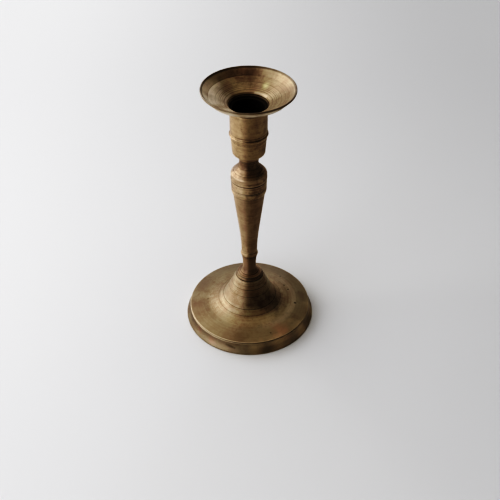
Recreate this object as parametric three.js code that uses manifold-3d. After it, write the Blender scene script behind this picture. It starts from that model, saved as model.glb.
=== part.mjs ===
// A turned brass candlestick: a hollow foot, a stem of stacked turned sections, a candle socket and a
// lift-out drip pan. A threaded rod holds the stack together, with its nut inside the foot.
// Millimetres, +Z up, with the origin at the middle of the foot's resting edge.

import * as THREE from "three";
import { mergeVertices } from "three/addons/utils/BufferGeometryUtils.js";
import Module from "manifold-3d";

const wasm = await Module();
wasm.setup();

// Driving dimensions. "Radius" is from the turning axis, and "height" is above the resting edge.

const ROUND_SIDES = 48; // sides of every turned surface
const ARC_STEP_DEGREES = 24; // the largest turn in one step of a rounded corner
const SEAM = 0.3; // gap between two pieces that touch

const rod = { radius: 2.5, bottom: 23.5, chamfer: 0.5 };
const rodHoleRadius = rod.radius + SEAM;

const foot = {
  radius: 50,
  edgeRounding: 0.5, // of the bottom's outer corner
  landHeight: 1.6, // height of the upright edge at the floor
  skirtHollow: 16, // radius of the skirt's concave flare
  grooveHeight: 8.6, // the groove under the lip
  grooveDepth: 0.5,
  grooveHalfWidth: 0.4,
  skirtTopRadius: 46.5,
  lipRadius: 47,
  lipHeight: 10.1,
  lipRounding: 0.6,
  plateStepRadius: 37.2, // a shallow turned step on the plate
  plateStepHeight: 12.5,
  plateStep: 0.25,
  cornerRadius: 21, // where the plate's and the cone's slopes would meet
  cornerHeight: 16.8,
  cornerHollow: 16.5, // radius of the concave curve between them
  topRadius: 10.6,
  topHeight: 39.4,
  crown: 6.4, // thickness of the solid top that the rod passes through
  wall: 2.6,
};

const ring = { bottomRadius: 10.4, topRadius: 9.5, height: 1.8, rounding: 0.7 };

const spool = {
  baseRadius: 9.2,
  baseEdge: 0.4,
  flareHollow: 4.6, // radius of the concave flare at its base
  waistRadius: 4.97,
  waistHollow: 33, // radius of the long concave curve above the waist
  topRadius: 6.05,
  height: 17.3,
};

const knop = {
  bottomRadius: 6.05,
  radius: 6.5,
  topRadius: 5.9,
  ringHeight: 1.5, // middle of the knop's ring above its bottom
  ringWidth: 0.8,
  neckHeight: 3.2,
  height: 4.2,
};

const shaft = {
  bottomRadius: 5.85,
  bendRadius: 6.25,
  bendHeight: 11.4, // above its own bottom
  bendHollow: 180,
  shoulderRadius: 11.45,
  shoulderHeight: 52.4,
  topRadius: 11.75,
  height: 53.2,
};

const shoulder = {
  bottomRadius: 11.9,
  firstBandRadius: 12.7,
  firstGroove: 5.2, // heights of its turned grooves above its own bottom
  secondBandRadius: 12.85,
  secondGroove: 11.4,
  beadRadius: 13.16,
  thirdGroove: 13.9,
  lastBandRadius: 12.95,
  lastGroove: 16.9,
  grooveDepth: 0.35,
  grooveHalfWidth: 0.25,
  domeSlopeRadius: 10.6, // a point on the dome's slope
  domeSlopeHeight: 19.6,
  domeSlope: 0.95, // fall in radius for each millimetre of height
  domeRounding: 4,
  neckRadius: 6.86,
  neckHollow: 6,
  topRadius: 7.3,
  height: 28.8,
};

const socket = {
  bottomRadius: 7.3,
  coveRadius: 9,
  coveHeight: 2.5,
  coveHollow: 8,
  cupBottomRadius: 11.5,
  cupBottomHeight: 4.6,
  cupRadius: 12.3,
  cupHeight: 14.6,
  beadLow: 18.3,
  beadHigh: 20.8,
  beadRadius: 13.57,
  beadFlat: 0.4,
  radius: 12.9,
  height: 38.3,
  tappedDepth: 5.7, // of the rod's blind hole, from below
  floorHeight: 8.5,
  floorRadius: 10.3,
  boreBottomRadius: 10.7,
  counterboreDepth: 10.3,
};

const pan = {
  radius: 32.13,
  height: 200, // of the rim above the floor
  rimWidth: 0.95,
  rimDepth: 1,
  ringRadius: 26.5, // where the bowl turns up into the steeper outer band
  ringHeight: 195.2,
  throatRadius: 14,
  throatHeight: 189.4,
  throatRounding: 1.6,
  wall: 1.4,
  collarHeight: 2.4, // upright part of the collar under the dish
  collarHollow: 3,
  boreRadius: 11.15, // takes a candle 22 mm across
  boreTop: 187.2,
  sleeveWall: 0.6,
};

const washer = { radius: 5.5, thickness: 1 };
const springWasher = { radius: 4.6, thickness: 1.2, split: 0.8 };
const nut = { acrossFlats: 8, height: 4, chamferDegrees: 30 };

// Heights of the seams, from the floor up.

const ringBottom = foot.topHeight + SEAM;
const spoolBottom = ringBottom + ring.height + SEAM;
const knopBottom = spoolBottom + spool.height + SEAM;
const shaftBottom = knopBottom + knop.height + SEAM;
const shoulderBottom = shaftBottom + shaft.height + SEAM;
const socketBottom = shoulderBottom + shoulder.height + SEAM;
const socketTop = socketBottom + socket.height;
const crownBottom = foot.topHeight - foot.crown;
const washerTop = crownBottom - SEAM;
const springWasherTop = washerTop - washer.thickness - SEAM;
const nutTop = springWasherTop - springWasher.thickness - SEAM;

// Outlines. A corner is [radius, height] or [radius, height, rounding].

// The points of a rounded corner: the arc that is tangent to both of its sides.
function roundedCorner(before, corner, after) {
  const here = new THREE.Vector2(corner[0], corner[1]);
  const back = new THREE.Vector2(before[0], before[1]).sub(here).normalize();
  const on = new THREE.Vector2(after[0], after[1]).sub(here).normalize();
  const between = Math.acos(THREE.MathUtils.clamp(back.dot(on), -1, 1));
  const turn = Math.PI - between;
  const rounding = corner[2];
  const centre = back.clone().add(on).normalize().multiplyScalar(rounding / Math.sin(between / 2)).add(here);
  const start = back.multiplyScalar(rounding / Math.tan(between / 2)).add(here).sub(centre);
  const end = on.multiplyScalar(rounding / Math.tan(between / 2)).add(here).sub(centre);
  const side = Math.sign(start.cross(end));
  const steps = Math.max(1, Math.ceil(THREE.MathUtils.radToDeg(turn) / ARC_STEP_DEGREES));
  const points = [];
  for (let i = 0; i <= steps; i++) {
    const angle = (side * turn * i) / steps;
    points.push(start.clone().rotateAround(new THREE.Vector2(), angle).add(centre));
  }
  return points;
}

// The points of an outline, with its rounded corners as arcs. A closed outline returns to its first point.
function outline(corners, closed = true) {
  const points = corners.flatMap((corner, i) => {
    const before = corners[(i + corners.length - 1) % corners.length];
    const after = corners[(i + 1) % corners.length];
    return corner[2] ? roundedCorner(before, corner, after) : [new THREE.Vector2(corner[0], corner[1])];
  });
  return closed ? [...points, points[0].clone()] : points;
}

// A solid turned about +Z from an outline that runs up its outside.
function turned(corners, closed = true) {
  return new THREE.LatheGeometry(outline(corners, closed), ROUND_SIDES).rotateX(Math.PI / 2);
}

// A V groove cut into an upright surface, from its lower edge to its upper edge.
function groove(radius, height, depth, halfWidth) {
  return [
    [radius, height - halfWidth],
    [radius - depth, height],
    [radius, height + halfWidth],
  ];
}

// The plate of a ring, or of a washer, about +Z.
function plainRing(innerRadius, outerRadius, bottom, thickness) {
  return turned([
    [innerRadius, bottom],
    [outerRadius, bottom],
    [outerRadius, bottom + thickness],
    [innerRadius, bottom + thickness],
  ]);
}

// Joining and cutting.

function solidOf(geometry) {
  const bare = geometry.clone();
  bare.deleteAttribute("normal");
  bare.deleteAttribute("uv");
  const merged = mergeVertices(bare, 1e-4);
  return new wasm.Manifold(
    new wasm.Mesh({
      numProp: 3,
      vertProperties: merged.attributes.position.array,
      triVerts: new Uint32Array(merged.index.array),
    }),
  );
}

function geometryOf(solid) {
  const mesh = solid.getMesh();
  const geometry = new THREE.BufferGeometry();
  geometry.setAttribute("position", new THREE.BufferAttribute(mesh.vertProperties, 3));
  geometry.setIndex(new THREE.BufferAttribute(mesh.triVerts, 1));
  geometry.computeVertexNormals();
  return geometry;
}

// The pieces.

// A hollow casting: skirt, lip, sloping plate and concave cone, open below, with a solid crown.
function footShape() {
  const f = foot;
  const bottomInnerRadius = f.radius - f.wall - f.edgeRounding;
  const slopeRun = f.cornerRadius - f.topRadius;
  const slopeRise = f.topHeight - f.cornerHeight;
  const sideways = f.wall * Math.hypot(1, slopeRun / slopeRise); // the cone's wall, measured level
  const crownInnerRadius = f.topRadius + (slopeRun * f.crown) / slopeRise - sideways;
  return turned([
    [bottomInnerRadius, 0],
    [f.radius, 0, f.edgeRounding],
    [f.radius, f.landHeight],
    [(f.radius + f.skirtTopRadius) / 2 - f.edgeRounding, f.landHeight + f.wall, f.skirtHollow / 4],
    ...groove(f.skirtTopRadius, f.grooveHeight, f.grooveDepth, f.grooveHalfWidth),
    [f.lipRadius, f.grooveHeight + f.grooveHalfWidth],
    [f.lipRadius, f.lipHeight, f.lipRounding],
    [f.plateStepRadius + f.plateStep, f.plateStepHeight],
    [f.plateStepRadius, f.plateStepHeight + f.plateStep],
    [f.cornerRadius, f.cornerHeight, f.cornerHollow],
    [f.topRadius, f.topHeight],
    [rodHoleRadius, f.topHeight],
    [rodHoleRadius, crownBottom],
    [crownInnerRadius, crownBottom],
    [f.cornerRadius - f.wall / 2, f.cornerHeight - f.wall, f.cornerHollow - f.wall],
    [f.lipRadius - f.wall, f.lipHeight - f.wall],
    [bottomInnerRadius - f.edgeRounding, f.landHeight + f.wall / 2],
  ]);
}

// The narrow ring that the stem stands on.
function seatingRingShape() {
  const top = ringBottom + ring.height;
  return turned([
    [rodHoleRadius, ringBottom],
    [ring.bottomRadius, ringBottom],
    [ring.bottomRadius, (ringBottom + top) / 2, ring.rounding],
    [ring.topRadius, top],
    [rodHoleRadius, top],
  ]);
}

// The waisted spool: a flared base, a waist and a slightly wider top.
function lowerSpoolShape() {
  const s = spool;
  const top = spoolBottom + s.height;
  const widening = s.topRadius - s.waistRadius;
  const bend = s.waistHollow * Math.tan(Math.atan(widening / s.waistHollow) * 2);
  return turned([
    [rodHoleRadius, spoolBottom],
    [s.baseRadius, spoolBottom],
    [s.baseRadius, spoolBottom + s.baseEdge],
    [s.waistRadius, spoolBottom + 3 * s.baseEdge, s.flareHollow],
    [s.waistRadius, top - 2 * bend, s.waistHollow],
    [s.topRadius, top],
    [rodHoleRadius, top],
  ]);
}

// The small knop between the spool and the shaft, with one ring.
function lowerKnopShape() {
  const k = knop;
  return turned([
    [rodHoleRadius, knopBottom],
    [k.bottomRadius, knopBottom],
    [k.radius, knopBottom + k.ringHeight - k.ringWidth / 2],
    [k.radius, knopBottom + k.ringHeight + k.ringWidth / 2],
    [k.topRadius, knopBottom + k.neckHeight],
    [k.topRadius, knopBottom + k.height],
    [rodHoleRadius, knopBottom + k.height],
  ]);
}

// The long shaft, which widens upward from a slightly hollow lower part.
function taperedShaftShape() {
  const s = shaft;
  return turned([
    [rodHoleRadius, shaftBottom],
    [s.bottomRadius, shaftBottom],
    [s.bendRadius, shaftBottom + s.bendHeight, s.bendHollow],
    [s.shoulderRadius, shaftBottom + s.shoulderHeight],
    [s.topRadius, shaftBottom + s.height],
    [rodHoleRadius, shaftBottom + s.height],
  ]);
}

// The banded shoulder, with a dome above it that draws in to the neck.
function shoulderKnopShape() {
  const s = shoulder;
  const cut = (radius, height) => groove(radius, shoulderBottom + height, s.grooveDepth, s.grooveHalfWidth);
  const domeHeight = (radius) => shoulderBottom + s.domeSlopeHeight - (radius - s.domeSlopeRadius) / s.domeSlope;
  const top = shoulderBottom + s.height;
  return turned([
    [rodHoleRadius, shoulderBottom],
    [s.bottomRadius, shoulderBottom],
    [s.firstBandRadius, shoulderBottom + s.firstGroove / 2, s.domeRounding],
    ...cut(s.firstBandRadius, s.firstGroove),
    ...cut(s.secondBandRadius, s.secondGroove),
    [s.beadRadius, (2 * shoulderBottom + s.secondGroove + s.thirdGroove) / 2],
    ...cut(s.lastBandRadius, s.thirdGroove),
    ...cut(s.lastBandRadius, s.lastGroove).slice(0, 2),
    [s.lastBandRadius - s.grooveDepth, domeHeight(s.lastBandRadius - s.grooveDepth)],
    [s.neckRadius, domeHeight(s.neckRadius), s.neckHollow],
    [s.neckRadius, top - (s.topRadius - s.neckRadius) * 3],
    [s.topRadius, top],
    [rodHoleRadius, top],
  ]);
}

// The cup for the candle: a coved underside, one bead, a blind tapped hole below and a counterbored mouth.
function candleSocketShape() {
  const s = socket;
  const at = (height) => socketBottom + height;
  const floor = at(s.floorHeight);
  return turned(
    [
      [0, at(s.tappedDepth)],
      [rodHoleRadius, at(s.tappedDepth)],
      [rodHoleRadius, socketBottom],
      [s.bottomRadius, socketBottom],
      [s.coveRadius, at(s.coveHeight), s.coveHollow],
      [s.cupBottomRadius, at(s.cupBottomHeight)],
      [s.cupRadius, at(s.cupHeight)],
      [s.radius, at(s.beadLow)],
      [s.beadRadius, at((s.beadLow + s.beadHigh - s.beadFlat) / 2)],
      [s.beadRadius, at((s.beadLow + s.beadHigh + s.beadFlat) / 2)],
      [s.radius, at(s.beadHigh)],
      [s.radius, socketTop],
      [pan.boreRadius + pan.sleeveWall + SEAM, socketTop],
      [pan.boreRadius + pan.sleeveWall + SEAM, socketTop - s.counterboreDepth],
      [pan.boreRadius, socketTop - s.counterboreDepth],
      [s.boreBottomRadius, floor + s.boreBottomRadius - s.floorRadius],
      [s.floorRadius, floor],
      [0, floor],
    ],
    false,
  );
}

// The wide dish with its throat, and the sleeve that drops into the socket's mouth.
function dripPanShape() {
  const p = pan;
  const seat = socketTop + SEAM;
  const sleeveBottom = seat - socket.counterboreDepth;
  const sleeveRadius = p.boreRadius + p.sleeveWall;
  const bowlSlope = (p.ringHeight - p.throatHeight) / (p.ringRadius - p.throatRadius);
  const under = p.wall * Math.hypot(1, bowlSlope); // the bowl's wall, measured upright
  const underHeight = (radius) => p.throatHeight - under + (radius - p.throatRadius) * bowlSlope;
  const underRingRadius = p.ringRadius + p.wall / 2;
  return turned([
    [p.boreRadius, sleeveBottom],
    [sleeveRadius, sleeveBottom],
    [sleeveRadius, seat],
    [socket.radius, seat],
    [socket.radius, underHeight(socket.radius), p.collarHeight / 2],
    [underRingRadius, underHeight(underRingRadius)],
    [p.radius, p.height - p.rimDepth],
    [p.radius, p.height],
    [p.radius - p.rimWidth, p.height],
    [p.ringRadius, p.ringHeight],
    [p.throatRadius, p.throatHeight, p.throatRounding],
    [p.boreRadius, p.boreTop],
  ]);
}

// The threaded rod, from the nut in the foot to the blind hole under the socket's floor.
function tieRodShape() {
  const top = socketBottom + socket.tappedDepth - SEAM;
  const tip = rod.radius - rod.chamfer;
  return turned(
    [
      [0, rod.bottom],
      [tip, rod.bottom],
      [rod.radius, rod.bottom + rod.chamfer],
      [rod.radius, top - rod.chamfer],
      [tip, top],
      [0, top],
    ],
    false,
  );
}

// A flat washer under the foot's crown.
function footWasherShape() {
  return plainRing(rodHoleRadius, washer.radius, washerTop - washer.thickness, washer.thickness);
}

// A split spring washer.
function lockWasherShape() {
  const bottom = springWasherTop - springWasher.thickness;
  const whole = plainRing(rodHoleRadius, springWasher.radius, bottom, springWasher.thickness);
  const slot = new THREE.BoxGeometry(springWasher.radius * 2, springWasher.split, springWasher.thickness * 4);
  slot.translate(springWasher.radius, 0, bottom);
  return geometryOf(solidOf(whole).subtract(solidOf(slot)));
}

// A hexagon nut with its corners chamfered on both faces.
function footNutShape() {
  const cornerRadius = nut.acrossFlats / Math.sqrt(3);
  const hexagon = new THREE.Shape();
  for (let corner = 0; corner < 6; corner++) {
    const angle = (corner * Math.PI) / 3;
    const x = cornerRadius * Math.cos(angle);
    const y = cornerRadius * Math.sin(angle);
    if (corner === 0) hexagon.moveTo(x, y);
    else hexagon.lineTo(x, y);
  }
  hexagon.closePath();
  const prism = new THREE.ExtrudeGeometry(hexagon, { depth: nut.height, bevelEnabled: false });
  prism.translate(0, 0, nutTop - nut.height);
  const faceRadius = nut.acrossFlats / 2;
  const fall = (cornerRadius - faceRadius) * Math.tan(THREE.MathUtils.degToRad(nut.chamferDegrees));
  const chamfered = turned([
    [rodHoleRadius, nutTop - nut.height],
    [faceRadius, nutTop - nut.height],
    [cornerRadius, nutTop - nut.height + fall],
    [cornerRadius, nutTop - fall],
    [faceRadius, nutTop],
    [rodHoleRadius, nutTop],
  ]);
  return geometryOf(solidOf(prism).intersect(solidOf(chamfered)));
}

// The assembly.

const agedBrass = { color: 0x8a6a3c, roughness: 0.42, metalness: 0.9 };
const plainSteel = { color: 0x8c8a86, roughness: 0.45, metalness: 0.85 };

const pieces = [
  ["foot", footShape(), agedBrass],
  ["seating_ring", seatingRingShape(), agedBrass],
  ["lower_spool", lowerSpoolShape(), agedBrass],
  ["lower_knop", lowerKnopShape(), agedBrass],
  ["tapered_shaft", taperedShaftShape(), agedBrass],
  ["shoulder_knop", shoulderKnopShape(), agedBrass],
  ["candle_socket", candleSocketShape(), agedBrass],
  ["drip_pan", dripPanShape(), agedBrass],
  ["tie_rod", tieRodShape(), plainSteel],
  ["foot_washer", footWasherShape(), plainSteel],
  ["lock_washer", lockWasherShape(), plainSteel],
  ["foot_nut", footNutShape(), plainSteel],
];

const candlestick = new THREE.Group();
candlestick.name = "candlestick";
for (const [name, geometry, finish] of pieces) {
  const mesh = new THREE.Mesh(geometry, new THREE.MeshStandardMaterial(finish));
  mesh.name = name;
  candlestick.add(mesh);
}

export default candlestick;
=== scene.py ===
"""A turned brass candlestick: the fine surfaces and finishes of each piece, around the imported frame.

Every piece is turned about the candlestick's axis from an outline, which carries its grooves, its tool
marks and its slight unevenness. Outlines are in millimetres, and meshes are in metres.
"""

import math

import bmesh
import bpy
import numpy as np
from mathutils import Matrix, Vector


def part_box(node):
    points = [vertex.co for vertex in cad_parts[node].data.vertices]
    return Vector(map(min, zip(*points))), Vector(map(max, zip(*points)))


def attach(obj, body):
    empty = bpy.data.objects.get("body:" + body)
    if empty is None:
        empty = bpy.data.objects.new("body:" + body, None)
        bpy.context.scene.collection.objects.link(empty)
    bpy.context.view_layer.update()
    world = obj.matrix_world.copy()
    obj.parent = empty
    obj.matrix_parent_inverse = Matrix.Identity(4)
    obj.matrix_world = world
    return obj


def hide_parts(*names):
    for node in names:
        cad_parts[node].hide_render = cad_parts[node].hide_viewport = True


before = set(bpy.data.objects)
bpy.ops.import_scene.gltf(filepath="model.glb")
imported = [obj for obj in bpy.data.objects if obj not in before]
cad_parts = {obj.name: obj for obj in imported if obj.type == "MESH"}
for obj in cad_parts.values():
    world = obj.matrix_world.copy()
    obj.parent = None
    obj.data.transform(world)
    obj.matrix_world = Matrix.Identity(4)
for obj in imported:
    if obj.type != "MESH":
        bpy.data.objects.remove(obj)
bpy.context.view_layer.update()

MM = 0.001


# ---------------------------------------------------------------- outlines

INNER_COARSER = 3  # how much further apart an outline's points are on the inside


def rounded_corner(before, corner, after, step):
    """The points of a rounded corner: the arc that is tangent to both of its sides."""
    here = np.array(corner[:2], float)
    back = np.array(before[:2], float) - here
    on = np.array(after[:2], float) - here
    back, on = back / np.linalg.norm(back), on / np.linalg.norm(on)
    between = math.acos(max(-1.0, min(1.0, float(back @ on))))
    turn = math.pi - between
    rounding = corner[2]
    middle = (back + on) / np.linalg.norm(back + on)
    centre = here + middle * rounding / math.sin(between / 2)
    arm = here + back * rounding / math.tan(between / 2) - centre
    side = 1.0 if back[0] * on[1] - back[1] * on[0] < 0 else -1.0
    steps = max(3, math.ceil(turn * rounding / step))
    points = []
    for i in range(steps + 1):
        angle = side * turn * i / steps
        c, s = math.cos(angle), math.sin(angle)
        points.append(centre + [arm[0] * c - arm[1] * s, arm[0] * s + arm[1] * c])
    return points


def between_points(start, end, step):
    """Evenly spaced points between two others, no further apart than step."""
    gap = end - start
    pieces = max(1, math.ceil(np.linalg.norm(gap) / step))
    return [start + gap * k / pieces for k in range(1, pieces)]


def smooth_outline(corners, inner_from, step, closed):
    """The points of an outline, with its rounded corners as arcs, and whether each is on the inside.

    Points are no further apart than step, or INNER_COARSER times that on the inside, which starts at corner
    inner_from.
    """
    points, inner = [], []
    coarse = INNER_COARSER * step
    for i, corner in enumerate(corners):
        inside = i >= inner_from
        if len(corner) == 3:
            after = corners[(i + 1) % len(corners)]
            here = rounded_corner(corners[i - 1], corner, after, coarse if inside else step)
        else:
            here = [np.array(corner, float)]
        if points:
            crossing = inside or i - 1 >= inner_from
            added = between_points(points[-1], here[0], coarse if crossing else step)
            points += added
            inner += [crossing] * len(added)
        points += here
        inner += [inside] * len(here)
    if closed:
        added = between_points(points[-1], points[0], coarse)
        points += added
        inner += [True] * len(added)
    return np.array(points), np.array(inner, float)


def distance_along(points):
    """How far each point is along its outline."""
    return np.concatenate([[0], np.cumsum(np.linalg.norm(np.diff(points, axis=0), axis=1))])


def outward(points):
    """The outward direction at each point of an outline that runs up its outside."""
    ahead = np.gradient(points, axis=0)
    ahead /= np.linalg.norm(ahead, axis=1)[:, None] + 1e-12
    return np.stack([ahead[:, 1], -ahead[:, 0]], axis=1)


def nearest_point(points, place, left_out=0.0):
    """The index of the point nearest to a place, apart from those left out."""
    far = 1000.0
    return np.argmin(np.hypot(points[:, 0] - place[0], points[:, 1] - place[1]) + far * left_out)


def wavy(at, pitch, rng):
    """A smooth random wave from about -1 to 1 with that pitch."""
    knots = np.arange(at.min() - 2 * pitch, at.max() + 3 * pitch, pitch)
    heights = rng.uniform(-1, 1, len(knots))
    k = np.clip(((at - knots[0]) / pitch).astype(int), 0, len(knots) - 2)
    t = (at - knots[k]) / pitch
    t = t * t * (3 - 2 * t)
    return heights[k] * (1 - t) + heights[k + 1] * t


# ---------------------------------------------------------------- turned pieces

MARK_PITCH = 0.9  # of the tool marks along the outline
SWAY_PITCH = 9.0  # of the slow unevenness along the axis
SWAY_WAVES = (2, 3, 5)  # how many waves of unevenness run round a piece
SWAY_PHASES = 6.28  # the radians that a wave's start is drawn from
FADE = 0.8  # the length over which tool marks set in and soot deepens
HOLLOW_REACH = 0.9  # how far to each side a row is compared with
GRIME_AND_SHADE_REACH = 0.4  # how far the grime of a seam, and the painted shade at the drip pan's rim, spread from their height


def turned(name, outside, inside, *, sides, step, seed, marks=0.0, grooves=(), seams_and_shaded_rims=(), uneven=0.05,
           soot_from=None, thread=None, flats=None, split=0.0):
    """A piece turned about +Z, with tool marks and grooves on its outside.

    An inside of None leaves the outline open, with both of its ends on the axis. Each groove is (radius,
    height, depth, half width). Seams are the heights where the piece meets its neighbours, which gather
    grime; on the drip pan they are its rim, where a dark edge is painted in as shade. Beyond soot_from, a
    (radius, height) on its outline, the candle has blackened it. A thread is (pitch, depth). Flats are the
    distance of a nut's six faces from its axis. A split is half the angle that a split ring leaves open.
    """
    rng = np.random.default_rng(seed)
    points, inner = smooth_outline([*outside, *(inside or [])], len(outside), step, inside is not None)
    along = distance_along(points)
    normal = outward(points)
    fade = fade_at_ends(along, inner)

    lift = tool_marks(along, marks, rng) * fade
    for groove in grooves:
        lift -= groove_depth(points, along, inner, groove)
    shaped = points + normal * lift[:, None]
    shaped[:, 1] = np.clip(shaped[:, 1], points[:, 1].min(), points[:, 1].max())

    angles = split + np.arange(sides) * (2 * math.pi - 2 * split) / (sides - 1 if split else sides)
    radii = swaying_radii(shaped, angles, uneven, fade, rng)
    if thread:
        radii = cut_thread(radii, shaped, angles, fade, *thread)
    if flats:
        radii = np.minimum(radii, flats / np.cos(angles[None, :] % (math.pi / 3) - math.pi / 6))
    radii = np.clip(radii, 0, points[:, 0].max())
    heights = np.repeat(shaped[:, 1:2], sides, axis=1)
    places = np.stack([radii * np.cos(angles), radii * np.sin(angles), heights], axis=2)
    vertices = places.reshape(-1, 3) * MM

    marked = {
        "along": along,
        "hollow": hollowness(shaped, normal, step),
        "inner": inner,
        "seam_and_rim_shade": grime_and_rim_shade(shaped[:, 1], seams_and_shaded_rims),
        "soot": soot(points, along, soot_from),
    }
    return lathe_mesh(name, vertices, sides, shaped[:, 0] < 1e-6, marked, bool(split))


def fade_at_ends(along, inner):
    """1 along the outside of an outline, easing to 0 at its two ends, and 0 on the inside."""
    last = np.flatnonzero(inner == 0)[-1]
    ends = np.minimum(along, along[last] - along) / FADE
    return np.clip(ends, 0, 1) * (1 - inner)


def tool_marks(along, depth, rng):
    """Random ridges along the outline, coarse and fine."""
    return depth * (0.6 * wavy(along, MARK_PITCH, rng) + 0.4 * wavy(along, MARK_PITCH / 2, rng))


def groove_depth(points, along, inner, groove):
    """How deep one groove, a (radius, height, depth, half width), is at each point of the outside."""
    radius, height, depth, half_width = groove
    middle = along[nearest_point(points, (radius, height), inner)]
    return depth * np.exp(-(((along - middle) / half_width) ** 2)) * (1 - inner)


def swaying_radii(shaped, angles, uneven, fade, rng):
    """The radius at each row and angle, slightly out of round in a way that changes along the axis."""
    sway = sum(
        rng.uniform(0.3, 1) / k * np.cos(k * angles + rng.uniform(0, SWAY_PHASES)) for k in SWAY_WAVES
    )
    height_sway = wavy(shaped[:, 1], SWAY_PITCH, rng)
    return shaped[:, :1] + uneven * fade[:, None] * height_sway[:, None] * sway[None, :]


def cut_thread(radii, shaped, angles, fade, pitch, depth):
    """Cuts a V thread into the rows that stand near the full radius."""
    near_full = 0.8
    turns = shaped[:, 1:2] / pitch - angles[None, :] / (2 * math.pi)
    cut = np.abs(2 * (turns % 1) - 1) * depth
    return np.where(radii > near_full * radii.max(), radii - cut * fade[:, None], radii)


def hollowness(shaped, normal, step):
    """How hollow each row is, or proud if negative, against the outline's average over a millimetre."""
    bell_end = 1.6
    window = np.exp(-np.linspace(-bell_end, bell_end, 2 * round(HOLLOW_REACH / step) + 1) ** 2)
    window /= window.sum()
    pad = len(window) // 2
    looped = np.concatenate([shaped[-pad:], shaped, shaped[:pad]])
    mean = np.stack([np.convolve(looped[:, k], window, "valid") for k in (0, 1)], axis=1)
    return ((mean - shaped) * normal).sum(axis=1)


def grime_and_rim_shade(heights, seams_and_shaded_rims):
    """Grime at a seam and painted shade at a rim: 1 at its height, fading with the distance from it."""
    total = sum((np.exp(-np.abs(heights - seam_and_rim_shade) / GRIME_AND_SHADE_REACH) for seam_and_rim_shade in seams_and_shaded_rims), np.zeros(len(heights)))
    return np.minimum(total, 1)


def soot(points, along, soot_from):
    """0 up to soot_from, and 1 beyond it."""
    if not soot_from:
        return np.zeros(len(along))
    return np.clip((along - along[nearest_point(points, soot_from)]) / FADE, 0, 1)


def lathe_mesh(name, vertices, sides, on_axis, marked, is_split):
    """A piece from its rows of vertices, closed round the axis, or capped where it is split.

    Rows on the axis are the ends of an open outline. Marked are the values of each row by name, kept as
    attributes for the materials.
    """
    mesh = bpy.data.meshes.new(name)
    faces = lathe_faces(sides, on_axis, is_split)
    mesh.from_pydata(vertices.tolist(), [], [tuple(int(v) for v in face) for face in faces])
    for label, values in marked.items():
        layer = mesh.attributes.new(label, "FLOAT", "POINT")
        layer.data.foreach_set("value", np.repeat(values, sides).astype(np.float32))
    clean(mesh)
    return place_in_scene(name, mesh)


def lathe_faces(sides, on_axis, is_split):
    """Quads from row to row, triangles at a row on the axis, and a cap at each side of a split."""
    rows = np.arange(len(on_axis))
    pairs = [(i, i + 1) for i in rows[:-1]]
    if not on_axis.any():
        pairs.append((rows[-1], 0))
    turn = np.arange(sides - 1 if is_split else sides)
    after = (turn + 1) % sides
    faces = []
    for low, high in pairs:
        if on_axis[low] and on_axis[high]:
            continue
        low_row, high_row = low * sides, high * sides
        corners = np.stack([low_row + turn, low_row + after, high_row + after, high_row + turn], 1)
        if on_axis[low]:
            faces += [(low_row, c[2], c[3]) for c in corners]
        elif on_axis[high]:
            faces += [(c[0], c[1], high_row) for c in corners]
        else:
            faces += corners.tolist()
    if is_split:
        faces += [(rows * sides).tolist(), (rows * sides + sides - 1)[::-1].tolist()]
    return faces


def clean(mesh):
    """Drops loose vertices, turns the faces outward and shades the mesh smooth."""
    work = bmesh.new()
    work.from_mesh(mesh)
    loose = [v for v in work.verts if not v.link_faces]
    bmesh.ops.delete(work, geom=loose, context="VERTS")
    bmesh.ops.recalc_face_normals(work, faces=work.faces)
    work.to_mesh(mesh)
    work.free()
    mesh.shade_smooth()


def place_in_scene(name, data):
    """A new object of the scene with that mesh, camera or light."""
    made = bpy.data.objects.new(name, data)
    bpy.context.scene.collection.objects.link(made)
    return made


# ---------------------------------------------------------------- shader helpers

BUMP_STRENGTH = 0.3
BUMP_HEIGHT = 0.00004  # metres


def new_material(name):
    """A new material, its node tree and its shader."""
    material = bpy.data.materials.new(name)
    material.use_nodes = True
    return material, material.node_tree, material.node_tree.nodes["Principled BSDF"]


def plug(tree, socket, value):
    """Links a value to a socket, or sets the socket to it if it is a plain one."""
    if isinstance(value, bpy.types.NodeSocket):
        tree.links.new(value, socket)
    else:
        socket.default_value = value


def node(tree, kind, inputs=None, **settings):
    """A new shader node with its settings, and with a value or a link at each named input."""
    made = tree.nodes.new("ShaderNode" + kind)
    for key, value in settings.items():
        setattr(made, key, value)
    for key, value in (inputs or {}).items():
        plug(tree, made.inputs[key], value)
    return made


def maths(tree, operation, first, second=0.0):
    return node(tree, "Math", {0: first, 1: second}, operation=operation).outputs[0]


def weighted(tree, *terms):
    """The sum of some values, each given as (value, weight)."""
    total, *parts = [maths(tree, "MULTIPLY", value, weight) for value, weight in terms]
    for part in parts:
        total = maths(tree, "ADD", total, part)
    return total


def scaled(tree, vector, factor):
    return node(tree, "VectorMath", {0: vector, "Scale": factor}, operation="SCALE").outputs[0]


def ramp(tree, value, low, high, to_low=0.0, to_high=1.0):
    """Eases from to_low to to_high as the value goes from low to high, and holds them outside that."""
    inputs = {"Value": value, "From Min": low, "From Max": high, "To Min": to_low, "To Max": to_high}
    return node(tree, "MapRange", inputs, interpolation_type="SMOOTHSTEP").outputs["Result"]


def blend(tree, share, first, second):
    """The first colour, with that share of the second."""
    # A Mix node takes its colours at sockets 6 and 7, and gives the mixed colour at output 2.
    return node(tree, "Mix", {0: share, 6: first, 7: second}, data_type="RGBA").outputs[2]


def layered(tree, colour, layers):
    """A colour with layers over it in turn, each (share, colour)."""
    for share, tint in layers:
        colour = blend(tree, share, colour, colour_of(tint))
    return colour


def noise(tree, place, scale, detail=3.0, rough=0.55):
    inputs = {"Vector": place, "Scale": scale, "Detail": detail, "Roughness": rough}
    return node(tree, "TexNoise", inputs).outputs["Fac"]


def attribute(tree, name):
    return node(tree, "Attribute", attribute_name=name).outputs["Fac"]


def object_place(tree):
    return node(tree, "TexCoord").outputs["Object"]


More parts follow.
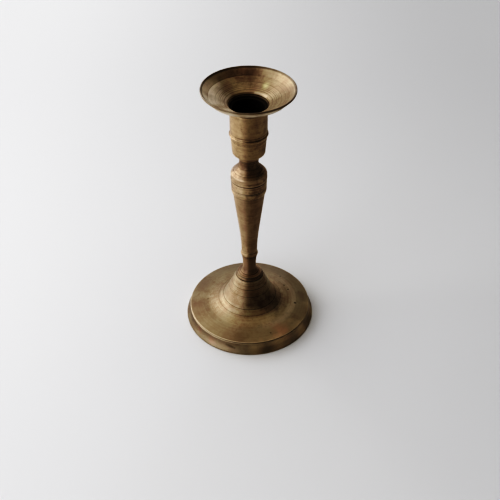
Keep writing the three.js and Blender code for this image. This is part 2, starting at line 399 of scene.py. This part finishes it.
def bumped(tree, shader, height):
    bump = node(tree, "Bump", {"Strength": BUMP_STRENGTH, "Distance": BUMP_HEIGHT, "Height": height})
    tree.links.new(bump.outputs[0], shader.inputs["Normal"])


def colour_of(rgb):
    return (*rgb, 1.0)


# ---------------------------------------------------------------- finishes

WORN = (0.455, 0.355, 0.235)
DULL = (0.29, 0.215, 0.143)
BROWN = (0.155, 0.105, 0.072)
OLIVE = (0.22, 0.178, 0.122)
ROSY = (0.29, 0.20, 0.14)
BLACK = (0.028, 0.02, 0.015)
BRIGHT = (0.56, 0.47, 0.34)
YELLOW = (0.38, 0.325, 0.225)
# Used only for a painted glint on the drip pan.
GREENISH_PAINTED_GLINT = (0.62, 0.58, 0.34)
# A pale patina, also painted as light on the drip pan's shaded bowl.
PALE_PATINA_AND_PAINTED_LIGHT = (0.60, 0.51, 0.39)
# Used only as painted light on the drip pan's shaded flank.
FADED_PAINTED_LIGHT = (0.84, 0.72, 0.56)
# Used only as a painted reflection under the drip pan.
CREAM_PAINTED_REFLECTION = (0.72, 0.65, 0.53)
STEEL = (0.36, 0.34, 0.31)
RUST = (0.16, 0.09, 0.05)

BRUSHED = 0.8  # how far the sheen of turned brass is drawn out
SEED_SHIFT = (0.37, 0.11, 0.53)  # metres that a seed moves the noises by, so that no two pieces match
LATHE_RADIUS = 0.35  # of the circle that one turn is in the lathe's noises, where 1 is 1 mm of outline
STAIN_AND_PAINT_REACH = 1.2  # how far each stain and each patch of painted light or shade fades out, as a share of its size
STAIN_AND_PAINT_RAGGED = 2.2  # how far its edge wanders, as a share of its size
RAGGED_PLATE = 7.0  # mm that the olive's edge wanders over
OLIVE_REACH = 6.0  # mm beyond the plate's outer radius to where it is fully olive

# The noises of turned brass: scale, detail and roughness. A scale is per metre in space, and on the lathe
# per millimetre along the outline.
IN_SPACE = {
    "clouds": (42.0, 5.0, 0.6),
    "patches": (105.0, 5.0, 0.62),
    "mottle": (420.0, 4.0, 0.65),
    "pits": (900.0, 3.0, 0.6),
}
ON_LATHE = {
    "streaks": (0.9, 4.0, 0.6),
    "fine": (3.4, 3.0, 0.62),
    "lines": (7.0, 2.0, 0.5),
}


def brass_noises(tree, place, flat, seed):
    """The noises of turned brass by name: some in space, and some drawn out round the lathe."""
    shift = tuple(seed * part for part in SEED_SHIFT)
    shifted = node(tree, "VectorMath", {0: place, 1: shift}).outputs[0]
    round_way = node(tree, "VectorMath", {0: flat}, operation="NORMALIZE").outputs[0]
    up = node(tree, "CombineXYZ", {"Z": attribute(tree, "along")}).outputs[0]
    lathe = node(tree, "VectorMath", {0: scaled(tree, round_way, LATHE_RADIUS), 1: up}).outputs[0]
    noises = {name: noise(tree, shifted, *settings) for name, settings in IN_SPACE.items()}
    noises |= {name: noise(tree, lathe, *settings) for name, settings in ON_LATHE.items()}
    return noises


def patina(tree, noises, tone, bright, age):
    """Dull or bright brass by its tone, with rosy, brown and bright patches over it."""
    browned = 0.2 * age
    colour = blend(tree, ramp(tree, tone, 0.41, 0.58), colour_of(DULL), colour_of(bright))
    return layered(tree, colour, [
        (ramp(tree, noises["patches"], 0.50, 0.72, 0.0, 0.6), ROSY),
        (ramp(tree, noises["clouds"], 0.62 - browned, 0.80 - browned, 0.0, 0.75), BROWN),
        (ramp(tree, noises["mottle"], 0.60, 0.72, 0.0, 0.35), BROWN),
        (ramp(tree, noises["fine"], 0.56, 0.70, 0.0, 0.16), BROWN),
        (ramp(tree, noises["fine"], 0.30, 0.44, 0.16, 0.0), BRIGHT),
    ])


def ragged_edge(tree, patches, width):
    """A shift of up to half the width in mm each way, to make an edge ragged."""
    return maths(tree, "MULTIPLY", maths(tree, "SUBTRACT", patches, 0.5), width * MM)


def olive_plate(tree, distance, patches, plate):
    """How olive a plate is, from 0 at its inner radius to a full share beyond its outer one."""
    ragged = maths(tree, "ADD", distance, ragged_edge(tree, patches, RAGGED_PLATE))
    return ramp(tree, ragged, plate[0] * MM, (plate[1] + OLIVE_REACH) * MM, 0.0, 0.7)


def stain_and_painted_light_mask(tree, place, patches, spot, size):
    """1 near a spot, given as azimuth from +X, radius and height in degrees and mm, with a ragged edge."""
    turn, radius, height = math.radians(spot[0]), spot[1] * MM, spot[2] * MM
    centre = (radius * math.cos(turn), radius * math.sin(turn), height)
    away = node(tree, "VectorMath", {0: place, 1: centre}, operation="DISTANCE").outputs["Value"]
    ragged = maths(tree, "ADD", away, ragged_edge(tree, patches, STAIN_AND_PAINT_RAGGED * size))
    return ramp(tree, ragged, 0.0, STAIN_AND_PAINT_REACH * size * MM, 1.0, 0.0)


def wear_grime_and_rim_shade(tree):
    """Layers that blacken hollows and seams, paint the pan rim's shade, brighten proud edges, brown the
    inside.
    """
    hollow = attribute(tree, "hollow")
    return [
        (ramp(tree, hollow, 0.004, 0.05, 0.0, 0.7), BLACK),
        (ramp(tree, hollow, -0.05, -0.012, 0.6, 0.0), BRIGHT),
        # Seam grime, and the painted shade at the drip pan's rim.
        (ramp(tree, attribute(tree, "seam_and_rim_shade"), 0.3, 1.0, 0.0, 0.55), BLACK),
        (maths(tree, "MULTIPLY", attribute(tree, "inner"), 0.6), BROWN),
    ]


def brass_roughness(tree, noises, tone, sooty):
    """Rougher where the brass is dull, sooty or hollow."""
    dull = ramp(tree, tone, 0.40, 0.60, 0.54, 0.44)
    rough = maths(tree, "ADD", dull, ramp(tree, noises["mottle"], 0.3, 0.7, -0.04, 0.05))
    rough = maths(tree, "ADD", rough, maths(tree, "MULTIPLY", sooty, 0.35))
    return maths(tree, "ADD", rough, ramp(tree, attribute(tree, "hollow"), 0.0, 0.05, 0.0, 0.2))


def brush(tree, shader, distance, plate):
    """Draws the sheen out round the lathe, and less so on the flat of a plate."""
    tangent = node(tree, "Tangent", direction_type="RADIAL", axis="Z").outputs[0]
    tree.links.new(tangent, shader.inputs["Tangent"])
    shader.inputs["Anisotropic"].default_value = BRUSHED
    shader.inputs["Anisotropic Rotation"].default_value = 0.25  # a quarter turn, across the tool marks
    if plate:
        sheen = ramp(tree, distance, plate[0] * MM, plate[1] * MM, BRUSHED, 0.1)
        tree.links.new(sheen, shader.inputs["Anisotropic"])


def aged_brass(name, seed, bright=WORN, age=0.5, stains_and_painted_light=(), plate=None, metal=0.92):
    """Turned brass with a brown patina, darker in its grooves and brighter on its edges.

    Age runs from 0 to 1 and browns it. Each stain, and each patch of painted light or shade, is (spot, size
    in mm, colour, share). Plate is the two radii in mm between which the brushed sheen turns into the even,
    duller one of a flat plate.
    """
    material, tree, shader = new_material(name)
    place = object_place(tree)
    flat = node(tree, "VectorMath", {0: place, 1: (1.0, 1.0, 0.0)}, operation="MULTIPLY").outputs[0]
    distance = node(tree, "VectorMath", {0: flat}, operation="LENGTH").outputs["Value"]
    noises = brass_noises(tree, place, flat, seed)
    patches = noises["patches"]
    tone = weighted(tree, (noises["clouds"], 0.45), (noises["streaks"], 0.2), (noises["mottle"], 0.35))
    blackened = maths(tree, "ADD", attribute(tree, "soot"), maths(tree, "MULTIPLY", patches, 0.6))
    sooty = ramp(tree, blackened, 0.45, 0.9)

    layers = [(olive_plate(tree, distance, patches, plate), OLIVE)] if plate else []
    for spot, size, tint, share in stains_and_painted_light:
        layers.append((maths(tree, "MULTIPLY", stain_and_painted_light_mask(tree, place, patches, spot, size), share), tint))
    layers += wear_grime_and_rim_shade(tree)
    layers.append((maths(tree, "MULTIPLY", sooty, 0.88), BLACK))
    colour = layered(tree, patina(tree, noises, tone, bright, age), layers)

    tree.links.new(colour, shader.inputs["Base Color"])
    tree.links.new(brass_roughness(tree, noises, tone, sooty), shader.inputs["Roughness"])
    shader.inputs["Metallic"].default_value = metal
    brush(tree, shader, distance, plate)
    relief = weighted(tree, (noises["lines"], 0.6), (noises["pits"], 0.4), (noises["fine"], 0.5))
    bumped(tree, shader, relief)
    return material


def plain_steel(name):
    """Dulled steel, for the rod, the nut and the washers inside the foot."""
    material, tree, shader = new_material(name)
    place = object_place(tree)
    clouds = noise(tree, place, 260.0, 4.0, 0.6)
    colour = blend(tree, ramp(tree, clouds, 0.42, 0.66), colour_of(STEEL), colour_of(RUST))
    grimy = ramp(tree, attribute(tree, "hollow"), 0.0, 0.06, 0.0, 0.7)
    tree.links.new(blend(tree, grimy, colour, colour_of(BLACK)), shader.inputs["Base Color"])
    tree.links.new(ramp(tree, clouds, 0.35, 0.7, 0.35, 0.6), shader.inputs["Roughness"])
    shader.inputs["Metallic"].default_value = 0.9
    bumped(tree, shader, noise(tree, place, 1500.0))
    return material


# ---------------------------------------------------------------- the pieces

def span(name):
    """The lowest and the highest height of a CAD node, and its greatest radius, in millimetres."""
    low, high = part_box(name)
    return low.z / MM, high.z / MM, high.x / MM


ROD_HOLE = 2.7
CANDLE_BORE = 11.15
REACH = 0.1  # how far a clamped piece reaches into the CAD model's gap, to leave a hairline at each joint
NUT_FACE = 4.0
NUT_CORNER = NUT_FACE / math.cos(math.pi / 6)

# Each corner is (radius, height), with the radius of its rounding where it has one. Each groove is
# (radius, height, depth, half width).


def foot():
    low, top, radius = span("foot")
    lip = 46.98
    neck = 10.6
    crown = 33.0  # the underside that the washer bears on
    outside = [
        (47.0, low),
        (radius, low, 0.5),
        (radius, low + 1.3, 0.7),
        (47.9, 5.2, 12.0),
        (47.0, 8.75),
        (46.2, 9.1),
        (lip, 9.5, 0.1),
        (lip, 10.15, 0.4),
        (37.3, 12.5, 9.0),
        (31.5, 13.4, 25.0),
        (25.2, 15.6, 12.0),
        (19.6, 20.2, 9.0),
        (neck, top, 0.3),
        (ROD_HOLE, top),
    ]
    inside = [
        (ROD_HOLE, crown),
        (neck, crown, 2.0),
        (19.7, 14.2, 13.9),
        (44.4, 7.5, 2.0),
        (46.4, 2.9),
    ]
    grooves = [
        (37.6, 12.5, 0.04, 0.3),
        (24.4, 16.1, 0.06, 0.28),
        (20.4, 19.4, 0.08, 0.28),
        (16.1, 28.2, 0.07, 0.25),
        (14.9, 30.6, 0.05, 0.2),
        (13.6, 33.3, 0.08, 0.25),
        (12.4, 36.0, 0.05, 0.2),
        (11.6, 37.6, 0.05, 0.2),
    ]
    return turned("foot_casting", outside, inside, sides=256, step=0.28, seed=3, marks=0.016,
                  grooves=grooves, seams_and_shaded_rims=[top])


def seating_ring():
    low, top, _ = span("seating_ring")
    outside = [
        (ROD_HOLE, low - REACH),
        (10.2, low - REACH, 0.15),
        (10.0, low + 0.7, 0.4),
        (9.5, top + REACH, 0.2),
        (ROD_HOLE, top + REACH),
    ]
    return turned("seating_ring_turned", outside, [], sides=176, step=0.16, seed=5, marks=0.01,
                  seams_and_shaded_rims=[low, top])


def lower_spool():
    low, top, _ = span("lower_spool")
    base = 9.15
    waist = 4.97
    outside = [
        (ROD_HOLE, low - REACH),
        (base, low - REACH, 0.15),
        (base, low + 0.4, 0.15),
        (waist, low + 1.2, 4.6),
        (waist, top - 4.0, 33.0),
        (6.05, top + REACH, 0.15),
        (ROD_HOLE, top + REACH),
    ]
    grooves = [(7.0, 43.5, 0.08, 0.22), (5.5, 57.4, 0.06, 0.2)]
    return turned("lower_spool_turned", outside, [], sides=160, step=0.24, seed=7, marks=0.012,
                  grooves=grooves, seams_and_shaded_rims=[low, top])


def lower_knop():
    low, top, _ = span("lower_knop")
    outside = [
        (ROD_HOLE, low - REACH),
        (6.05, low - REACH, 0.15),
        (6.45, low + 1.1, 0.3),
        (6.45, low + 1.9, 0.3),
        (5.9, low + 3.2, 0.3),
        (5.9, top + REACH, 0.1),
        (ROD_HOLE, top + REACH),
    ]
    return turned("lower_knop_turned", outside, [], sides=160, step=0.16, seed=9, marks=0.01, seams_and_shaded_rims=[low])


def tapered_shaft():
    low, top, _ = span("tapered_shaft")
    outside = [
        (ROD_HOLE, low - REACH),
        (5.85, low - REACH, 0.1),
        (6.25, low + 11.4, 180.0),
        (11.45, top - 0.8, 0.3),
        (11.7, top + REACH, 0.15),
        (ROD_HOLE, top + REACH),
    ]
    grooves = [(11.4, top - 0.9, 0.08, 0.25)]
    return turned("tapered_shaft_turned", outside, [], sides=176, step=0.35, seed=11, marks=0.014,
                  grooves=grooves, seams_and_shaded_rims=[top])


def shoulder_knop():
    low, top, _ = span("shoulder_knop")
    neck = 6.86
    outside = [
        (ROD_HOLE, low - REACH),
        (11.9, low - REACH, 0.15),
        (12.7, low + 2.6, 4.0),
        (12.7, low + 5.2),
        (12.85, low + 11.4),
        (13.1, low + 12.65, 2.0),
        (12.95, low + 13.9),
        (12.95, low + 16.9, 3.4),
        (neck, low + 23.3, 6.0),
        (neck, low + 27.4, 2.0),
        (7.3, top + REACH, 0.15),
        (ROD_HOLE, top + REACH),
    ]
    grooves = [
        (12.6, low + 4.2, 0.16, 0.25),
        (12.7, low + 5.2, 0.26, 0.28),
        (12.85, low + 11.4, 0.2, 0.35),
        (12.95, low + 14.0, 0.02, 0.25),
        (12.4, low + 17.5, 0.05, 0.25),
        (10.9, low + 19.1, 0.07, 0.22),
        (9.6, low + 20.5, 0.05, 0.2),
        (7.7, low + 22.6, 0.03, 0.22),
    ]
    return turned("shoulder_knop_turned", outside, [], sides=208, step=0.24, seed=13, marks=0.016,
                  grooves=grooves, seams_and_shaded_rims=[low, top])


def candle_socket():
    low, top, _ = span("candle_socket")
    bottom = 155.0  # that the candle stands on
    rod_room = 152.2  # the end of the blind hole for the rod
    ledge = top - 10.3  # that the drip pan's sleeve stops above
    wall = 12.9
    mouth = 12.05
    bead = 13.57
    outside = [
        (0.0, rod_room),
        (ROD_HOLE, rod_room),
        (ROD_HOLE, low - REACH),
        (7.3, low - REACH, 0.15),
        (9.0, low + 2.5, 8.0),
        (11.5, low + 4.6, 1.5),
        (12.3, low + 14.6, 12.0),
        (wall, low + 18.3, 0.3),
        (bead, low + 19.4, 0.4),
        (bead, low + 19.75, 0.4),
        (wall, low + 20.8, 0.3),
        (wall, top, 0.2),
        (mouth, top, 0.1),
        (mouth, ledge),
        (CANDLE_BORE, ledge),
        (10.7, bottom + 0.4, 0.3),
        (10.3, bottom),
        (0.0, bottom),
    ]
    grooves = [
        (12.45, low + 16.2, 0.07, 0.22),
        (12.7, low + 17.3, 0.09, 0.22),
        (13.2, low + 20.2, 0.08, 0.2),
        (wall, low + 21.6, 0.08, 0.22),
    ]
    return turned("candle_socket_turned", outside, None, sides=208, step=0.28, seed=15, marks=0.012,
                  grooves=grooves, seams_and_shaded_rims=[low], soot_from=(CANDLE_BORE, ledge))


def drip_pan():
    low, top, radius = span("drip_pan")
    seat = 185.0  # the underside of the collar, just above the socket's rim
    sleeve = 11.75
    collar = 12.9
    outside = [
        (CANDLE_BORE, low),
        (sleeve, low, 0.1),
        (sleeve, seat),
        (collar, seat, 0.15),
        (collar, 187.6, 1.2),
        (27.2, 193.9, 1.5),
        (radius, top - 1.0, 0.4),
        (radius, top, 0.35),
        (31.5, top, 0.3),
        (26.8, 195.3, 0.8),
        (14.5, 189.4, 1.3),
        (12.5, 186.4, 1.2),
        (CANDLE_BORE, 185.9, 0.3),
    ]
    grooves = [
        (26.8, 195.4, 0.06, 0.25),
        (24.6, 194.3, 0.04, 0.2),
        (22.0, 193.1, 0.06, 0.2),
        (20.8, 192.5, 0.04, 0.2),
        (19.6, 192.0, 0.07, 0.2),
        (18.7, 191.6, 0.08, 0.2),
        (17.6, 191.1, 0.06, 0.2),
        (16.2, 190.4, 0.08, 0.2),
    ]
    # The darkened heights at the rim's top paint a dark edge there as shade.
    return turned("drip_pan_turned", outside, [], sides=240, step=0.26, seed=17, marks=0.016,
                  grooves=grooves, seams_and_shaded_rims=[top, top - 0.6], soot_from=(13.9, 188.5))


def tie_rod():
    low, top, radius = span("tie_rod")
    chamfer = 0.5
    outside = [
        (0.0, low),
        (radius - chamfer, low),
        (radius, low + chamfer),
        (radius, top - chamfer),
        (radius - chamfer, top),
        (0.0, top),
    ]
    return turned("tie_rod_threaded", outside, None, sides=40, step=0.13, seed=19, uneven=0,
                  thread=(0.8, 0.35))


def washer(name, node_name, rounding, split=0.0):
    low, top, radius = span(node_name)
    outside = [
        (ROD_HOLE, low),
        (radius, low, rounding),
        (radius, top, rounding),
        (ROD_HOLE, top),
    ]
    return turned(name, outside, [], sides=160, step=0.12, seed=21, uneven=0, split=split)


def foot_washer():
    return washer("foot_washer_flat", "foot_washer", rounding=0.25)


def lock_washer():
    return washer("lock_washer_sprung", "lock_washer", rounding=0.15, split=0.11)


def foot_nut():
    low, top, _ = span("foot_nut")
    chamfer = 0.36
    rim = ROD_HOLE + 0.25
    outside = [
        (ROD_HOLE, low + 0.2),
        (rim, low),
        (NUT_FACE, low, 0.1),
        (NUT_CORNER, low + chamfer),
        (NUT_CORNER, top - chamfer),
        (NUT_FACE, top, 0.1),
        (rim, top),
        (ROD_HOLE, top - 0.2),
    ]
    return turned("foot_nut_hexagon", outside, [], sides=180, step=0.14, seed=23, uneven=0,
                  flats=NUT_FACE)


# Each stain, and each patch of painted light or shade, is (spot, size, colour, share), with the spot as
# (azimuth from +X, radius, height), in degrees and millimetres.
FOOT_STAINS_AND_PAINTED_LIGHT = [
    ((17, 32.4, 13.4), 1.0, BLACK, 0.8),
    ((-9, 36.4, 12.7), 0.9, BLACK, 0.8),
    ((27, 31.4, 13.6), 0.8, BLACK, 0.6),
    ((46, 36.2, 12.7), 0.7, BLACK, 0.6),
    ((-67, 41.0, 11.6), 1.0, BLACK, 0.7),
    ((-178, 33.1, 13.2), 0.9, BLACK, 0.5),
    ((-112, 48.0, 6.0), 1.0, BLACK, 0.3),
    ((-110, 48.0, 5.7), 1.1, BLACK, 0.35),
    ((-108, 48.0, 5.4), 1.2, BLACK, 0.4),
    ((-106, 48.1, 5.0), 1.2, BLACK, 0.45),
    ((-104, 48.2, 4.6), 1.2, BLACK, 0.45),
    ((-128, 47.6, 5.0), 4.5, ROSY, 0.9),
    ((-145, 47.6, 6.0), 3.5, ROSY, 0.8),
    ((-80, 47.6, 4.5), 3.0, BROWN, 0.15),
    ((-165, 43.0, 11.3), 16.0, BROWN, 0.5),
    ((155, 43.0, 11.3), 14.0, BROWN, 0.45),
    ((-55, 43.0, 11.4), 9.0, ROSY, 0.9),
    ((-100, 43.0, 11.4), 8.0, BROWN, 0.4),
    # Painted shade: brown patches darken the right of the cone's flare.
    ((-66, 17.0, 24.0), 10.0, BROWN, 0.45),
    ((-42, 19.0, 20.0), 10.5, BROWN, 0.5),
    ((-16, 21.0, 18.2), 10.0, BROWN, 0.42),
    ((-178, 48.0, 5.0), 12.0, BROWN, 0.5),
    ((-155, 48.0, 5.0), 9.0, BROWN, 0.3),
    # A worn colour over the skirt's front and right, painted as reflected light that lightens that side.
    ((-85, 48.2, 5.0), 7.0, WORN, 0.7),
    ((-62, 48.2, 5.0), 9.0, WORN, 0.7),
    ((-35, 48.2, 5.0), 9.0, WORN, 0.7),
    ((-5, 48.2, 5.0), 9.0, WORN, 0.6),
]
PAN_STAINS_AND_PAINTED_LIGHT = [
    ((98, 29.0, 197.8), 4.5, ROSY, 0.9),
    ((78, 28.0, 196.8), 3.5, ROSY, 0.8),
    # A painted glint: a pale greenish-yellow spot in the bowl.
    ((56, 20.5, 192.4), 3.2, GREENISH_PAINTED_GLINT, 0.75),
    ((113, 29.0, 197.0), 8.5, BROWN, 0.85),
    ((88, 27.0, 195.5), 11.0, BROWN, 0.85),
    # A pale patina, painted brighter as light on the shaded left of the bowl.
    ((182, 22.0, 193.0), 13.0, PALE_PATINA_AND_PAINTED_LIGHT, 0.9),
    ((225, 19.0, 191.5), 9.0, PALE_PATINA_AND_PAINTED_LIGHT, 0.8),
    ((158, 22.0, 193.0), 9.5, PALE_PATINA_AND_PAINTED_LIGHT, 0.85),
    # Painted light: a faded colour lightens the shaded left flank of the dish.
    ((149, 29.5, 197.5), 7.0, FADED_PAINTED_LIGHT, 0.3),
    ((166, 29.5, 197.5), 9.0, FADED_PAINTED_LIGHT, 0.85),
    ((186, 29.5, 197.5), 9.0, FADED_PAINTED_LIGHT, 0.7),
    # A painted reflection: a cream band on the front of the pan's underside.
    *[((turn, 30.0, 195.6), 4.2, CREAM_PAINTED_REFLECTION, 0.55) for turn in range(-168, -55, 8)],
    # A painted highlight along the far edge of the pan's throat.
    *[((turn, 14.3, 189.2), 1.5, BRIGHT, 0.85) for turn in range(36, 75, 6)],
]
# Painted shade: a brown patch about the axis darkens the top of the shoulder knop.
SHOULDER_TOP_PAINTED_SHADE = [((0, 0.0, 139.5), 16.5, BROWN, 0.95)]
FINISHES = {
    "foot": dict(bright=YELLOW, age=0.3, stains_and_painted_light=FOOT_STAINS_AND_PAINTED_LIGHT, plate=(23.0, 35.0)),
    "seating_ring": dict(bright=DULL, age=0.9),
    "lower_spool": dict(bright=(0.31, 0.23, 0.16), age=0.5),
    "lower_knop": dict(age=0.5),
    "tapered_shaft": dict(bright=(0.39, 0.30, 0.205), age=0.25),
    "shoulder_knop": dict(bright=(0.53, 0.415, 0.28), age=0.35, stains_and_painted_light=SHOULDER_TOP_PAINTED_SHADE),
    "candle_socket": dict(bright=(0.44, 0.335, 0.215), age=0.3),
    "drip_pan": dict(bright=(0.39, 0.32, 0.212), age=0.3, stains_and_painted_light=PAN_STAINS_AND_PAINTED_LIGHT, metal=0.66),
}

BRASS_PIECES = {
    "foot": foot,
    "seating_ring": seating_ring,
    "lower_spool": lower_spool,
    "lower_knop": lower_knop,
    "tapered_shaft": tapered_shaft,
    "shoulder_knop": shoulder_knop,
    "candle_socket": candle_socket,
    "drip_pan": drip_pan,
}
STEEL_PIECES = {
    "tie_rod": tie_rod,
    "foot_washer": foot_washer,
    "lock_washer": lock_washer,
    "foot_nut": foot_nut,
}


def build_pieces():
    for seed, (name, make) in enumerate(BRASS_PIECES.items()):
        piece = make()
        piece.data.materials.append(aged_brass("brass_" + name, seed, **FINISHES[name]))
        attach(piece, "drip_pan" if name == "drip_pan" else "stand")
        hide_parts(name)
    steel = plain_steel("steel")
    for name, make in STEEL_PIECES.items():
        piece = make()
        piece.data.materials.append(steel)
        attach(piece, "stand")
        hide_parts(name)


# ---------------------------------------------------------------- the studio

LENS_MM = 60.5
CAMERA_BACK = 0.4916
CAMERA_HEIGHT = 0.4693
CAMERA_SIDE = 0.0005
CAMERA_PITCH = math.radians(39.61)
CAMERA_ROLL = math.radians(-0.273)

LAMP_PLACE = (-1.8, 0.75, 1.3)
LAMP_SIZE = (2.25, 1.75)
LAMP_WATTS = 38.0

FLOOR_HALF = 30.0
PAPER_TINT = (0.988, 0.991, 0.998)
# How the paper's tone changes over a distance in metres: distance from, distance to, tone from, tone to.
# These tones are painted light and shade: paler left and far off, darker right, behind and under the lamp.
PAPER_PAINTED_FALLOFF_ACROSS = (-0.3, 0.3, 0.785, 0.58)
PAPER_PAINTED_LIGHT_FAR = (1.6, 5.0, 0.0, 0.26)
PAPER_PAINTED_SHADE_BEHIND = (0.0, 0.45, 0.0, 0.05)
PAPER_PAINTED_SHADE_UNDER_LAMP = (0.3, 1.7, 0.3, 0.0)

# The light round the object, in patches of (azimuths, elevations, strength). Azimuth is 0 towards the
# front, 90 to the left and 180 behind, and it runs from -90 to 270.
WINDOW = [
    ((15, 62), (-4, 25), 1.1),
    ((34, 62), (-4, 25), 3.6),
    ((62, 95), (-4, 25), 2.6),
    ((95, 160), (-8, 10), 4.4),
    ((95, 150), (14, 30), 0.5),
    ((30, 92), (25, 55), 0.9),
    ((140, 207), (25, 58), 1.3),
    ((160, 198), (-4, 25), 0.9),
    ((-95, -55), (-8, 10), 1.3),
]
ROOM = [
    ((-55, 26), (-8, 14), 0.38),
    ((214, 250), (25, 58), 0.2),
    ((205, 272), (-4, 25), 0.22),
    ((-91, 271), (57, 91), 1.15),
]
WINDOW_TINT = (0.96, 1.0, 1.11)
ROOM_TINT = (1.06, 1.0, 0.89)
PATCH_SOFTNESS = 9  # degrees
SEEN_BACKGROUND = (0.7, 0.7, 0.7)

GAMMA = 0.55
TONE_CURVE = ((0.06, 0.036), (0.17, 0.185), (0.32, 0.43), (0.52, 0.66), (0.78, 0.87))


def camera():
    data = bpy.data.cameras.new("camera")
    data.lens = LENS_MM
    data.clip_start = 0.01
    made = place_in_scene("camera", data)
    tilt = Matrix.Rotation(math.pi / 2 - CAMERA_PITCH, 4, "X") @ Matrix.Rotation(CAMERA_ROLL, 4, "Z")
    made.matrix_world = Matrix.Translation((CAMERA_SIDE, -CAMERA_BACK, CAMERA_HEIGHT)) @ tilt
    bpy.context.scene.camera = made


def floor():
    half = FLOOR_HALF
    mesh = bpy.data.meshes.new("floor")
    corners = [(-half, -half, 0), (half, -half, 0), (half, half, 0), (-half, half, 0)]
    mesh.from_pydata(corners, [], [(0, 1, 2, 3)])
    mesh.materials.append(paper())
    place_in_scene("floor", mesh)


def paper():
    """White paper with painted light and shade: paler left and far off, darker right, behind and under the
    lamp.
    """
    material, tree, shader = new_material("paper_floor")
    place = object_place(tree)
    parts = node(tree, "SeparateXYZ", {"Vector": place}).outputs
    away = node(tree, "VectorMath", {0: place}, operation="LENGTH").outputs["Value"]
    below_lamp = (*LAMP_PLACE[:2], 0.0)
    from_lamp = node(tree, "VectorMath", {0: place, 1: below_lamp}, operation="DISTANCE").outputs["Value"]
    tone = maths(tree, "ADD", ramp(tree, parts["X"], *PAPER_PAINTED_FALLOFF_ACROSS), ramp(tree, away, *PAPER_PAINTED_LIGHT_FAR))
    tone = maths(tree, "SUBTRACT", tone, ramp(tree, parts["Y"], *PAPER_PAINTED_SHADE_BEHIND))
    tone = maths(tree, "SUBTRACT", tone, ramp(tree, from_lamp, *PAPER_PAINTED_SHADE_UNDER_LAMP))
    tree.links.new(scaled(tree, PAPER_TINT, tone), shader.inputs["Base Color"])
    shader.inputs["Roughness"].default_value = 1.0
    shader.inputs["Specular IOR Level"].default_value = 0.0
    return material


def eased_range(tree, value, low, high, soft):
    """1 between low and high, easing to 0 across each of them."""
    return maths(tree, "MULTIPLY",
                 ramp(tree, value, low - soft, low + soft),
                 ramp(tree, value, high - soft, high + soft, 1.0, 0.0))


def light_from(tree, azimuth, elevation, patches, tint):
    """The light from a direction out of soft-edged patches, each (azimuths, elevations, strength)."""
    total = 0.0
    for sides, heights, strength in patches:
        across = eased_range(tree, azimuth, *sides, PATCH_SOFTNESS)
        upward = eased_range(tree, elevation, *heights, PATCH_SOFTNESS)
        patch = maths(tree, "MULTIPLY", across, upward)
        total = maths(tree, "ADD", total, maths(tree, "MULTIPLY", patch, strength))
    return scaled(tree, tint, total)


def direction(tree):
    """The azimuth and the elevation, in degrees, of a direction in the world."""
    way = node(tree, "TexCoord").outputs["Generated"]
    parts = node(tree, "SeparateXYZ", {"Vector": way}).outputs
    left = maths(tree, "MULTIPLY", parts["X"], -1.0)
    front = maths(tree, "MULTIPLY", parts["Y"], -1.0)
    azimuth = maths(tree, "MULTIPLY", maths(tree, "ARCTAN2", left, front), 180 / math.pi)
    elevation = maths(tree, "MULTIPLY", maths(tree, "ARCSINE", parts["Z"]), 180 / math.pi)
    wrapped = maths(tree, "FLOORED_MODULO", maths(tree, "ADD", azimuth, 90.0), 360.0)
    return maths(tree, "SUBTRACT", wrapped, 90.0), elevation


def surroundings():
    """A bright window to the left and a dim room to the right, with a plain grey seen past the floor."""
    world = bpy.data.worlds.new("room")
    bpy.context.scene.world = world
    world.use_nodes = True
    tree = world.node_tree
    azimuth, elevation = direction(tree)
    cool = light_from(tree, azimuth, elevation, WINDOW, WINDOW_TINT)
    warm = light_from(tree, azimuth, elevation, ROOM, ROOM_TINT)
    light = node(tree, "VectorMath", {0: cool, 1: warm}).outputs[0]
    seen = node(tree, "LightPath").outputs["Is Camera Ray"]
    light = node(tree, "Mix", {0: seen, 4: light, 5: SEEN_BACKGROUND}, data_type="VECTOR").outputs[1]
    tree.links.new(light, tree.nodes["Background"].inputs["Color"])


def near_light():
    """The window itself, as a lamp that lights the object and the floor round it."""
    data = bpy.data.lights.new("window_near", "AREA")
    data.shape = "RECTANGLE"
    data.size, data.size_y = LAMP_SIZE
    data.energy = LAMP_WATTS
    made = place_in_scene("window_near", data)
    made.location = LAMP_PLACE
    made.rotation_euler = (-made.location).to_track_quat("-Z", "Y").to_euler()
    made.visible_camera = False


def grading():
    """A contrasty print of the picture: deep, warm shadows and pale highlights."""
    view = bpy.context.scene.view_settings
    view.view_transform = "Standard"
    view.gamma = GAMMA
    view.use_curve_mapping = True
    whole_curve = view.curve_mapping.curves[3]
    for place in TONE_CURVE:
        whole_curve.points.new(*place)
    view.curve_mapping.update()


camera()
floor()
surroundings()
near_light()
grading()
build_pieces()
